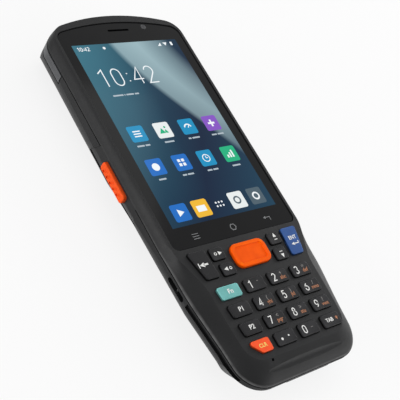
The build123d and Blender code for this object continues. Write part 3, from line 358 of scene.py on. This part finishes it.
# The material of each slot in the record.
SLOT_MATERIALS = {
    "housing": moulded("housing_plastic", CHARCOAL, 0.36, 0.5, ridge=0.13),
    "cap": moulded("cap_plastic", shade(CHARCOAL, 4.5), 0.34, 0.46),
    "window": moulded("window_plastic", (0.02, 0.003, 0.004), 0.06, 0.12, 0.02),
    "module": moulded("module_plastic", (0.013, 0.013, 0.014), 0.4, 0.55),
    "board": moulded("solder_mask", (0.008, 0.06, 0.028), 0.3, 0.42),
    "film": moulded("polymer_film", (0.3, 0.26, 0.17), 0.35, 0.5),
    "lens": moulded("frosted_lens", (0.7, 0.69, 0.62), 0.15, 0.3, 0.1),
    "battery": moulded("battery_sleeve", (0.03, 0.03, 0.033), 0.35, 0.5),
    # The key rubbers carry a painted highlight on their edges and painted shade on their flanks.
    "key_dark": silicone(
        "key_rubber", (0.0100, 0.0100, 0.0110), 0.4, 0.55, pale_edge=2.8, flank_shade=0.25),
    "key_teal": silicone("teal_rubber", (0.16, 0.44, 0.42), 0.38, 0.5, pale_edge=1.7, flank_shade=0.35),
    "key_blue": silicone("blue_rubber", (0.028, 0.085, 0.27), 0.34, 0.46, pale_edge=1.7, flank_shade=0.35),
    "key_red": silicone("red_rubber", (0.9, 0.090, 0.022), 0.38, 0.5, pale_edge=1.3, flank_shade=0.35),
    "trigger": silicone("trigger_rubber", (0.74, 0.080, 0.012), 0.4, 0.52, 0.06, pale_edge=1.3),
    "flap": silicone("flap_rubber", (0.026, 0.026, 0.028), 0.5, 0.65),
    "mat": silicone("seal_rubber", (0.012, 0.012, 0.012), 0.5, 0.7),
    "steel": metal("plated_steel", (0.55, 0.55, 0.54), 0.22, 0.38, (1, 12, 1)),
    "contact": metal("gold_contact", (0.75, 0.55, 0.22), 0.18, 0.3),
    "mesh": metal("mesh_steel", (0.09, 0.09, 0.1), 0.4, 0.6),
    "panel": alloy_mat,
    "alloy": alloy_mat,
    "glass": glass_mat,
}
SLOT_MATERIALS["seal"] = SLOT_MATERIALS["mat"]
# The nodes that look different from their slot.
NODE_MATERIALS = {"key_scan": orange_mat, "camera_window": glass_mat}


def dress_nodes():
    """Give each node its own material or that of its slot."""
    for row in frame["record"]["subparts"]:
        name = row["node"]
        materials = nodes[name].data.materials
        materials.clear()
        materials.append(NODE_MATERIALS.get(name) or SLOT_MATERIALS[row["material_slot"]])


dress_nodes()


# ---------------------------------------------------------------- flat shapes
# Degrees at the points of a round corner and of a disc, and between the points of an arc.
CORNER_TURNS = range(0, 91, 15)
DISC_TURNS = range(0, 360, 10)
ARC_STEP = 9
# The least cosine by which a mitred corner is widened.
MITRE_LEAST = 0.45
LETTER_DEPTH, LETTER_RESOLUTION = 0.00001, 4


class Print:
    """Flat coloured shapes that lie on one surface and ride on one body."""

    def __init__(self, name, body, z):
        self.name, self.body, self.z = name, body, z
        self.bm = bmesh.new()
        self.mats = []

    def slot_of(self, mat):
        if mat not in self.mats:
            self.mats.append(mat)
        return self.mats.index(mat)

    def vert(self, x, y, lift):
        return self.bm.verts.new((x * MM, y * MM, (self.z + lift) * MM))

    def face(self, verts, mat):
        """A face that looks up."""
        face = self.bm.faces.new(verts)
        face.normal_update()
        if face.normal.z < 0:
            face.normal_flip()
        face.material_index = self.slot_of(mat)

    def band(self, pairs, mat):
        """A band of faces between pairs of points."""
        for a, b in zip(pairs, pairs[1:]):
            self.face((a[0], a[1], b[1], b[0]), mat)

    def poly(self, points, mat, lift=0.0):
        self.face([self.vert(x, y, lift) for x, y in points], mat)

    def rect(self, x, y, w, h, mat, lift=0.0):
        left, right, foot, head = x - w / 2, x + w / 2, y - h / 2, y + h / 2
        self.poly([(left, foot), (right, foot), (right, head), (left, head)], mat, lift)

    def rounded(self, x, y, w, h, r, mat, lift=0.0):
        """A rectangle with round corners."""
        points = []
        for side, end, start in ((1, 1, 0), (-1, 1, 90), (-1, -1, 180), (1, -1, 270)):
            cx, cy = x + side * (w / 2 - r), y + end * (h / 2 - r)
            for turn in CORNER_TURNS:
                angle = radians(start + turn)
                points.append((cx + r * cos(angle), cy + r * sin(angle)))
        self.poly(points, mat, lift)

    def disc(self, x, y, r, mat, lift=0.0):
        turns = [radians(turn) for turn in DISC_TURNS]
        self.poly([(x + r * cos(a), y + r * sin(a)) for a in turns], mat, lift)

    def arc(self, x, y, r0, r1, mat, lift=0.0, start=0, end=360):
        """A ring, or a part of one, between two radii."""
        count = int((end - start) / ARC_STEP)
        pairs = []
        for i in range(count + 1):
            a = radians(start + (end - start) * i / count)
            pairs.append([self.vert(x + r * cos(a), y + r * sin(a), lift) for r in (r0, r1)])
        self.band(pairs, mat)

    def stroke(self, points, width, mat, lift=0.0, closed=False):
        """A ribbon of even width along a chain of points, with mitred corners."""
        line = [Vector(p) for p in points]
        pairs = []
        for i, point in enumerate(line):
            ways = []
            if closed or i > 0:
                ways.append((point - line[i - 1]).normalized())
            if closed or i < len(line) - 1:
                ways.append((line[(i + 1) % len(line)] - point).normalized())
            mean = (ways[0] + ways[-1]).normalized()
            side = Vector((-mean.y, mean.x))
            first = Vector((-ways[0].y, ways[0].x))
            side = side * (width / 2 / max(MITRE_LEAST, side.dot(first)))
            ends = (point + side, point - side)
            pairs.append([self.vert(at.x, at.y, lift) for at in ends])
        if closed:
            pairs.append(pairs[0])
        self.band(pairs, mat)

    def done(self):
        """Make the piece and let it ride on its body."""
        many = [face for face in self.bm.faces if len(face.verts) > 4]
        bmesh.ops.triangulate(self.bm, faces=many)
        mesh = bpy.data.meshes.new(self.name)
        self.bm.to_mesh(mesh)
        self.bm.free()
        for mat in self.mats:
            mesh.materials.append(mat)
        ob = bpy.data.objects.new(self.name, mesh)
        bpy.context.scene.collection.objects.link(ob)
        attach(ob, self.body)


def bow(cx, cy, rx, ry, start, end):
    """Points along an elliptic arc, by degrees."""
    count = max(3, int(abs(end - start) / 15))
    turns = [radians(start + (end - start) * i / count) for i in range(count + 1)]
    return [(cx + rx * cos(a), cy + ry * sin(a)) for a in turns]


def loop(cx, cy, rx, ry):
    """A closed ellipse, without the point that would repeat."""
    return bow(cx, cy, rx, ry, 0, 360)[:-1]


# Strokes of each digit in a cell of height 1 and width 0.56, as (points, closed).
ZERO = bow(0.28, 0.70, 0.25, 0.30, 0, 180) + bow(0.28, 0.30, 0.25, 0.30, 180, 360)
TWO = bow(0.28, 0.73, 0.24, 0.27, 165, -32) + [(0.04, 0.0), (0.56, 0.0)]
THREE_HEAD = bow(0.26, 0.75, 0.23, 0.25, 155, -75)
THREE_FOOT = bow(0.26, 0.26, 0.26, 0.26, 80, -155)
FIVE = [(0.50, 1.0), (0.11, 1.0), (0.08, 0.56)] + bow(0.27, 0.33, 0.25, 0.33, 125, -150)
SIX_STEM = bow(0.60, 0.30, 0.56, 0.70, 112, 178)
NINE_STEM = [(0.56 - x, 1 - y) for x, y in SIX_STEM]
DIGITS = {
    "0": [(ZERO, True)],
    "1": [([(0.10, 0.80), (0.36, 1.0), (0.36, 0.0)], False)],
    "2": [(TWO, False)],
    "3": [(THREE_HEAD, False), (THREE_FOOT, False)],
    "4": [([(0.43, 0.0), (0.43, 1.0), (0.02, 0.28), (0.58, 0.28)], False)],
    "5": [(FIVE, False)],
    "6": [(loop(0.28, 0.31, 0.26, 0.31), True), (SIX_STEM, False)],
    "7": [([(0.04, 1.0), (0.54, 1.0), (0.20, 0.0)], False)],
    "8": [(loop(0.28, 0.77, 0.20, 0.23), True), (loop(0.28, 0.27, 0.27, 0.27), True)],
    "9": [(loop(0.28, 0.69, 0.26, 0.31), True), (NINE_STEM, False)],
}


# The colon's dots, as shares of a digit's height, their radius as a share of the stroke's width.
COLON_LEVELS, COLON_INDENT, COLON_PITCH, COLON_DOT = (0.22, 0.66), 0.1, 0.36, 0.62


def number(page, text, x, y, height, width, mat, pitch=0.76):
    """Digits and colons drawn as strokes, from the left end and the foot line."""
    for sign in text:
        if sign == ":":
            for at in COLON_LEVELS:
                page.disc(x + COLON_INDENT * height, y + at * height, width * COLON_DOT, mat)
            x += COLON_PITCH * height
            continue
        for points, closed in DIGITS[sign]:
            placed = [(x + px * height, y + py * height) for px, py in points]
            page.stroke(placed, width, mat, 0.0, closed)
        x += pitch * height


def words(name, body, text, size, x, y, z, mat, weight, squeeze=1.0):
    """Lettering as a thin mesh, centred on a point."""
    curve = bpy.data.curves.new(name + "_curve", "FONT")
    curve.body = text
    curve.size = size * MM
    curve.offset = weight * MM
    curve.align_x = "CENTER"
    curve.align_y = "CENTER"
    curve.extrude = LETTER_DEPTH
    curve.resolution_u = LETTER_RESOLUTION
    holder = bpy.data.objects.new(name + "_text", curve)
    bpy.context.scene.collection.objects.link(holder)
    bpy.context.view_layer.update()
    shown = holder.evaluated_get(bpy.context.evaluated_depsgraph_get())
    mesh = bpy.data.meshes.new_from_object(shown)
    bpy.data.objects.remove(holder)
    mesh.transform(Matrix.Diagonal((squeeze, 1, 1, 1)))
    mesh.transform(Matrix.Translation((x * MM, y * MM, z * MM)))
    mesh.materials.clear()
    mesh.materials.append(mat)
    ob = bpy.data.objects.new(name, mesh)
    bpy.context.scene.collection.objects.link(ob)
    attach(ob, body)


# ---------------------------------------------------------------- display
WALLPAPER_COLUMNS, WALLPAPER_ROWS = 12, 20
TILE_SIDE, TILE_CORNER = 7.4, 0.9
LABEL_DROP, LABEL_HEIGHT, LABEL_GAP = 5.6, 0.72, 0.45
APP_COLUMNS = (-18.54, -6.18, 6.18, 18.54)
DOCK_COLUMNS = (-18.95, -9.03, 9.03, 18.95)
APP_ROWS = (23.0, 7.4)
DOCK_ROW = -13.2
STATUS_ROW = 65.4
NAVIGATION_ROW = -23.7
TIME = "10:42"

white_lit = lit("lit_white", (0.86, 0.90, 0.92))
grey_lit = lit("lit_grey", (0.42, 0.49, 0.54))


def make_wallpaper():
    sheet = Print("screen_wallpaper", "terminal", GLASS_TOP + WALLPAPER_LIFT)
    mat = wallpaper()
    width = (SCREEN_RIGHT - SCREEN_LEFT) / WALLPAPER_COLUMNS
    length = (SCREEN_HEAD - SCREEN_FOOT) / WALLPAPER_ROWS
    for i in range(WALLPAPER_COLUMNS):
        for j in range(WALLPAPER_ROWS):
            x, y = SCREEN_LEFT + (i + 0.5) * width, SCREEN_FOOT + (j + 0.5) * length
            sheet.rect(x, y, width, length, mat)
    sheet.done()


def sign_bars(page, x, y, mat):
    for i, height in enumerate((1.4, 2.4, 3.4)):
        page.rect(x - 1.3 + i * 1.3, y - 1.7 + height / 2, 0.8, height, mat, SIGN_LIFT)


def sign_ring(page, x, y, mat):
    page.arc(x, y, 1.1, 1.8, mat, SIGN_LIFT)


def sign_disc(page, x, y, mat):
    page.disc(x, y, 1.7, mat, SIGN_LIFT)


def sign_sheet(page, x, y, mat):
    page.rect(x, y - 0.15, 4.2, 2.6, mat, SIGN_LIFT)


def sign_cross(page, x, y, mat):
    page.rect(x, y, 3.4, 0.9, mat, SIGN_LIFT)
    for dy in (1.08, -1.08):
        page.rect(x, y + dy, 0.9, 1.25, mat, SIGN_LIFT)


def sign_peak(page, x, y, mat):
    near = [(-2.1, -1.5), (0.9, -1.5), (-0.6, 1.1)]
    far = [(1.1, -1.5), (2.2, -1.5), (1.2, 0.3), (0.55, -0.6)]
    for slope in (near, far):
        page.poly([(x + dx, y + dy) for dx, dy in slope], mat, SIGN_LIFT)
    page.disc(x + 1.3, y + 1.3, 0.5, mat, SIGN_LIFT)


def sign_lines(page, x, y, mat):
    for i in (-1, 0, 1):
        page.rect(x, y + i * 1.15, 3.4, 0.55, mat, SIGN_LIFT)


def sign_play(page, x, y, mat):
    page.poly([(x - 1.1, y - 1.6), (x + 1.7, y), (x - 1.1, y + 1.6)], mat, SIGN_LIFT)


def sign_grid(page, x, y, mat):
    for i in (-1, 1):
        for j in (-1, 1):
            page.rect(x + i * 0.95, y + j * 0.95, 1.3, 1.3, mat, SIGN_LIFT)


def sign_clock(page, x, y, mat):
    page.arc(x, y, 1.45, 1.85, mat, SIGN_LIFT)
    page.rect(x, y + 0.5, 0.35, 1.2, mat, SIGN_LIFT)
    page.rect(x + 0.4, y, 1.0, 0.35, mat, SIGN_LIFT)


def sign_gauge(page, x, y, mat):
    page.arc(x, y - 0.5, 1.3, 1.9, mat, SIGN_LIFT, 10, 170)
    page.stroke([(x, y - 0.6), (x + 0.8, y + 0.6)], 0.35, mat, SIGN_LIFT + NEEDLE_LIFT)


def label(page, x, y, runs):
    """Small print too fine to read: a row of short bars, centred on x."""
    left = x - (sum(runs) + LABEL_GAP * (len(runs) - 1)) / 2
    for run in runs:
        page.rounded(left + run / 2, y, run, LABEL_HEIGHT, LABEL_HEIGHT * 0.3, grey_lit)
        left += run + LABEL_GAP


def make_tiles():
    """Plain app tiles in two rows with labels, and a dock with a dotted drawer sign."""
    page = Print("screen_tiles", "terminal", GLASS_TOP + TILE_LIFT)
    blue = lit("tile_blue", (0.010, 0.145, 0.52))
    cyan = lit("tile_cyan", (0.006, 0.26, 0.50))
    green = lit("tile_green", (0.012, 0.42, 0.20))
    purple = lit("tile_purple", (0.23, 0.085, 0.52))
    yellow = lit("tile_yellow", (0.85, 0.47, 0.03))
    slate = lit("tile_slate", (0.07, 0.11, 0.14))
    pale = lit("tile_white", (0.78, 0.82, 0.82))
    rows = (
        (APP_COLUMNS, APP_ROWS[0], (
            (cyan, sign_lines, white_lit), (pale, sign_peak, green),
            (cyan, sign_gauge, white_lit), (purple, sign_cross, white_lit))),
        (APP_COLUMNS, APP_ROWS[1], (
            (blue, sign_disc, white_lit), (blue, sign_grid, white_lit),
            (cyan, sign_clock, white_lit), (green, sign_bars, white_lit))),
        (DOCK_COLUMNS, DOCK_ROW, (
            (blue, sign_play, white_lit), (yellow, sign_sheet, white_lit),
            (pale, sign_ring, slate), (slate, sign_ring, white_lit))),
    )
    for columns, y, tiles in rows:
        for x, (back, sign, front) in zip(columns, tiles):
            page.rounded(x, y, TILE_SIDE, TILE_SIDE, TILE_CORNER, back)
            sign(page, x, y, front)
    labels = (
        ((3.4, 2.2), (4.6,), (1.4, 3.8), (2.6, 3.2)),
        ((3.4,), (2.0, 3.0), (2.4, 2.6), (4.2,)),
    )
    for y, runs_of_row in zip(APP_ROWS, labels):
        for x, runs in zip(APP_COLUMNS, runs_of_row):
            label(page, x, y - LABEL_DROP, runs)
    for i in range(3):
        for j in range(2):
            page.disc(-1.5 + i * 1.5, -12.4 - j * 1.6, 0.42, white_lit)
    label(page, -13.6, 41.6, (4.8, 0.5, 3.6, 2.0))
    page.done()


def make_status():
    """Battery, network and signal marks at the right of the status row, the time at its left."""
    page = Print("screen_status", "terminal", GLASS_TOP + TILE_LIFT)
    y = STATUS_ROW
    page.rounded(22.6, y, 1.1, 1.9, 0.2, white_lit)
    page.poly([(18.2, y + 0.8), (19.3, y - 0.9), (20.4, y + 0.8)], white_lit)
    page.poly([(15.2, y - 0.9), (17.0, y - 0.9), (17.0, y + 0.9)], white_lit)
    page.disc(-11.6, y, 0.65, white_lit)
    number(page, TIME, -24.2, y - 0.85, 1.75, 0.3, white_lit)
    page.done()


def make_navigation():
    """Menu, home and back signs printed under the glass."""
    nav_grey = ink("nav_grey", (0.15, 0.155, 0.16))
    page = Print("glass_navigation", "terminal", GLASS_TOP + GLASS_PRINT_LIFT)
    y = NAVIGATION_ROW
    for i in (-1, 0, 1):
        page.rect(-18.1, y + i * 1.0, 3.0, 0.26, nav_grey)
    turns = [radians(a) for a in range(0, 360, 60)]
    home = [(1.35 * cos(a), y + 1.35 * sin(a)) for a in turns]
    page.stroke(home, 0.34, nav_grey, closed=True)
    page.stroke([(19.2, y - 1.0), (19.2, y + 0.5), (17.0, y + 0.5)], 0.28, nav_grey)
    page.poly([(16.0, y + 0.5), (17.1, y + 1.2), (17.1, y - 0.2)], nav_grey)
    page.done()


def make_front_camera():
    """The dark eye of the front camera in its grey ring, seen through the glass."""
    page = Print("glass_camera", "terminal", GLASS_TOP + GLASS_PRINT_LIFT)
    x, y, eye, ring = 13.4, 75.4, 0.95, 1.2
    page.arc(x, y, eye, ring, ink("camera_ring", (0.035, 0.036, 0.04)))
    page.disc(x, y, eye, ink("camera_eye", (0.002, 0.002, 0.005)), 0.002)
    page.done()


def make_clock():
    page = Print("screen_clock", "terminal", GLASS_TOP + CLOCK_LIFT)
    number(page, TIME, -22.0, 46.2, 8.4, 0.5, white_lit, 0.78)
    page.done()


make_wallpaper()
make_tiles()
make_status()
make_navigation()
make_front_camera()
make_clock()

# ---------------------------------------------------------------- key legends
KEY_PRINT = KEY_TOP + INK_LIFT
WING_PRINT = WING_TOP + INK_LIFT
DIGIT_HEIGHT, DIGIT_STROKE = 2.85, 0.4
LETTERS = ("", "", "abc", "def", "ghi", "jkl", "mno", "pqr", "stu", "vwx")
SIGNS = ("_", "-", "+", "=", "(", ")", "/", "<", ">", "?")

white_ink = ink("legend_white", (0.82, 0.82, 0.8))
grey_ink = ink("legend_grey", (0.18, 0.17, 0.16))
amber_ink = ink("legend_amber", (0.40, 0.145, 0.055))
yellow_ink = ink("legend_yellow", (0.9, 0.62, 0.12))


def centre(node):
    """The middle of a node in plan, in millimetres."""
    low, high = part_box(node)
    return (low.x + high.x) / 2 / MM, (low.y + high.y) / 2 / MM


def key_words(node, part, text, size, dx, dy, mat, weight, squeeze=1.0, z=KEY_PRINT):
    """Lettering on a key, by its distance from the key's middle."""
    x, y = centre(node)
    words(node + part, node + "_cap", text, size, x + dx, y + dy, z, mat, weight, squeeze)


def key_page(node, part="_legend", z=KEY_PRINT):
    """An empty page on a key, and the key's middle."""
    x, y = centre(node)
    return Print(node + part, node + "_cap", z), x, y


def arrow(page, x, y, size, turn, mat):
    """A solid triangle that points along turn degrees."""
    corners = [radians(turn + angle) for angle in (0, 130, 230)]
    page.poly([(x + size * cos(a), y + size * sin(a)) for a in corners], mat)


def number_legends():
    """A digit at the left of each number key, a pale sign and amber letters at the right."""
    for i, (letters, sign) in enumerate(zip(LETTERS, SIGNS)):
        node = "key_%d" % i
        page, x, y = key_page(node, "_digit")
        number(page, str(i), x - 3.0, y - 1.35, DIGIT_HEIGHT, DIGIT_STROKE, white_ink)
        page.done()
        key_words(node, "_sign", sign, 2.3, 1.5, 1.0, grey_ink, 0.03, 0.95)
        if letters:
            key_words(node, "_letters", letters, 2.2, 1.85, -0.75, amber_ink, 0.03, 0.95)


def word_legends():
    for node, text, size, tint in (
            ("key_p1", "P1", 2.5, white_ink), ("key_p2", "P2", 2.5, white_ink),
            ("key_function", "Fn", 2.6, white_ink), ("key_clear", "CLR", 2.0, yellow_ink)):
        key_words(node, "_legend", text, size, 0.3, 0, tint, 0.05)
    key_words("key_tab", "_legend", "TAB", 2.1, -0.9, 0, white_ink, 0.05, 0.95)
    key_words("key_tab", "_second", "*", 3.0, 2.9, -0.5, amber_ink, 0.06)
    page, x, y = key_page("key_point")
    page.disc(x - 1.9, y - 0.3, 0.5, white_ink)
    page.disc(x + 1.5, y + 0.2, 0.35, white_ink)
    page.done()


def small_arrow_legends():
    """An arrow with a ring behind it on the side keys, and with a bar on the up and down keys."""
    for node, turn, dx in (("key_right", 0, 1.0), ("key_left", 180, -1.0)):
        page, x, y = key_page(node)
        arrow(page, x + dx, y, 1.05, turn, white_ink)
        page.arc(x - dx, y, 0.35, 0.62, white_ink)
        page.done()
    for node, turn, dy in (("key_up", 90, 1.0), ("key_down", 270, -1.0)):
        page, x, y = key_page(node)
        arrow(page, x + 0.3, y + dy, 1.05, turn, white_ink)
        page.rect(x + 0.3, y - dy * 0.7, 1.5, 0.3, white_ink)
        page.done()


def wing_legends():
    """The long arrows of the two tall keys at the sides of the scan key."""
    page, x, y = key_page("key_back", z=WING_PRINT)
    arrow(page, x - 0.6, y, 1.25, 180, white_ink)
    page.rect(x + 0.9, y, 2.0, 0.7, white_ink)
    page.rect(x - 2.2, y, 0.4, 2.0, white_ink)
    page.done()
    key_words("key_enter", "_word", "ENT", 2.2, 0, 1.0, white_ink, 0.05, 0.95, WING_PRINT)
    page, x, y = key_page("key_enter", z=WING_PRINT)
    arrow(page, x - 1.2, y - 1.6, 0.9, 180, white_ink)
    page.rect(x + 0.5, y - 1.6, 2.6, 0.4, white_ink)
    page.rect(x + 1.65, y - 1.1, 0.4, 0.9, white_ink)
    page.done()


number_legends()
word_legends()
small_arrow_legends()
wing_legends()

# ---------------------------------------------------------------- floor and light
FLOOR_SIDE, FLOOR_DROP = 6, 0.00002
FLOOR_GLOW = 0.82
AMBIENT = 0.4
# Each lamp's place, the point it faces, its width, height and power.
LAMPS = {
    "lamp_top": ((0.1, 0.35, 0.9), (0, 0, 0), 1.0, 0.8, 2.6),
    "lamp_left": ((-0.9, 0.1, 0.21), (0, 0, 0.01), 0.8, 0.36, 6.5),
    "lamp_foot": ((0.6, -0.66, 0.36), (0, 0, 0.01), 0.7, 0.5, 3.2),
    "lamp_right": ((0.85, 0.2, 0.28), (0, 0, 0.01), 0.7, 0.4, 2.8),
}


def seen_rays(nt):
    """1 for rays that show the surroundings: straight, mirrored or through glass."""
    path = nt.nodes.new("ShaderNodeLightPath")
    total = path.outputs["Is Camera Ray"]
    for name in ("Is Glossy Ray", "Is Transmission Ray"):
        either = nt.nodes.new("ShaderNodeMath")
        either.operation = "MAXIMUM"
        nt.links.new(total, either.inputs[0])
        nt.links.new(path.outputs[name], either.inputs[1])
        total = either.outputs[0]
    return total


def make_floor():
    """A pale floor that keeps the shadow and shows nearly white."""
    bpy.ops.mesh.primitive_plane_add(size=FLOOR_SIDE, location=(0, 0, -FLOOR_DROP))
    floor = bpy.context.active_object
    floor.name = "floor"
    tree = Tree("floor_white")
    tree.colour(tree.ramp(tree.noise(3, 2), [(0.3, grey(0.86)), (0.7, grey(0.88))]))
    tree.set(Roughness=0.9, Specular_IOR_Level=0.2)
    glow = tree.add("ShaderNodeEmission")
    glow.inputs["Strength"].default_value = 1.0
    mixer = tree.add("ShaderNodeMixShader")
    tree.link(tree.math("MULTIPLY", seen_rays(tree.nt), FLOOR_GLOW), mixer.inputs["Fac"])
    tree.link(tree.shader.outputs["BSDF"], mixer.inputs[1])
    tree.link(glow.outputs["Emission"], mixer.inputs[2])
    tree.link(mixer.outputs["Shader"], tree.nt.nodes["Material Output"].inputs["Surface"])
    floor.data.materials.append(tree.mat)


def make_world():
    """Even light at the ambient level, shown as plain white."""
    world = bpy.data.worlds.new("world")
    bpy.context.scene.world = world
    world.use_nodes = True
    nt = world.node_tree
    light = nt.nodes["Background"]
    plain = nt.nodes.new("ShaderNodeBackground")
    for back, strength in ((light, AMBIENT), (plain, 1)):
        back.inputs["Color"].default_value = (1, 1, 1, 1)
        back.inputs["Strength"].default_value = strength
    mixer = nt.nodes.new("ShaderNodeMixShader")
    nt.links.new(seen_rays(nt), mixer.inputs["Fac"])
    nt.links.new(light.outputs["Background"], mixer.inputs[1])
    nt.links.new(plain.outputs["Background"], mixer.inputs[2])
    nt.links.new(mixer.outputs["Shader"], nt.nodes["World Output"].inputs["Surface"])


def make_lamp(name, place, aim, width, height, power):
    data = bpy.data.lights.new(name, "AREA")
    data.shape = "RECTANGLE"
    data.size = width
    data.size_y = height
    data.energy = power
    lamp = bpy.data.objects.new(name, data)
    bpy.context.scene.collection.objects.link(lamp)
    way = Vector(aim) - Vector(place)
    lamp.rotation_euler = way.to_track_quat("-Z", "Y").to_euler()
    lamp.location = place


make_floor()
make_world()
for lamp_name, lamp_values in LAMPS.items():
    make_lamp(lamp_name, *lamp_values)

bpy.context.scene.view_settings.view_transform = "Standard"
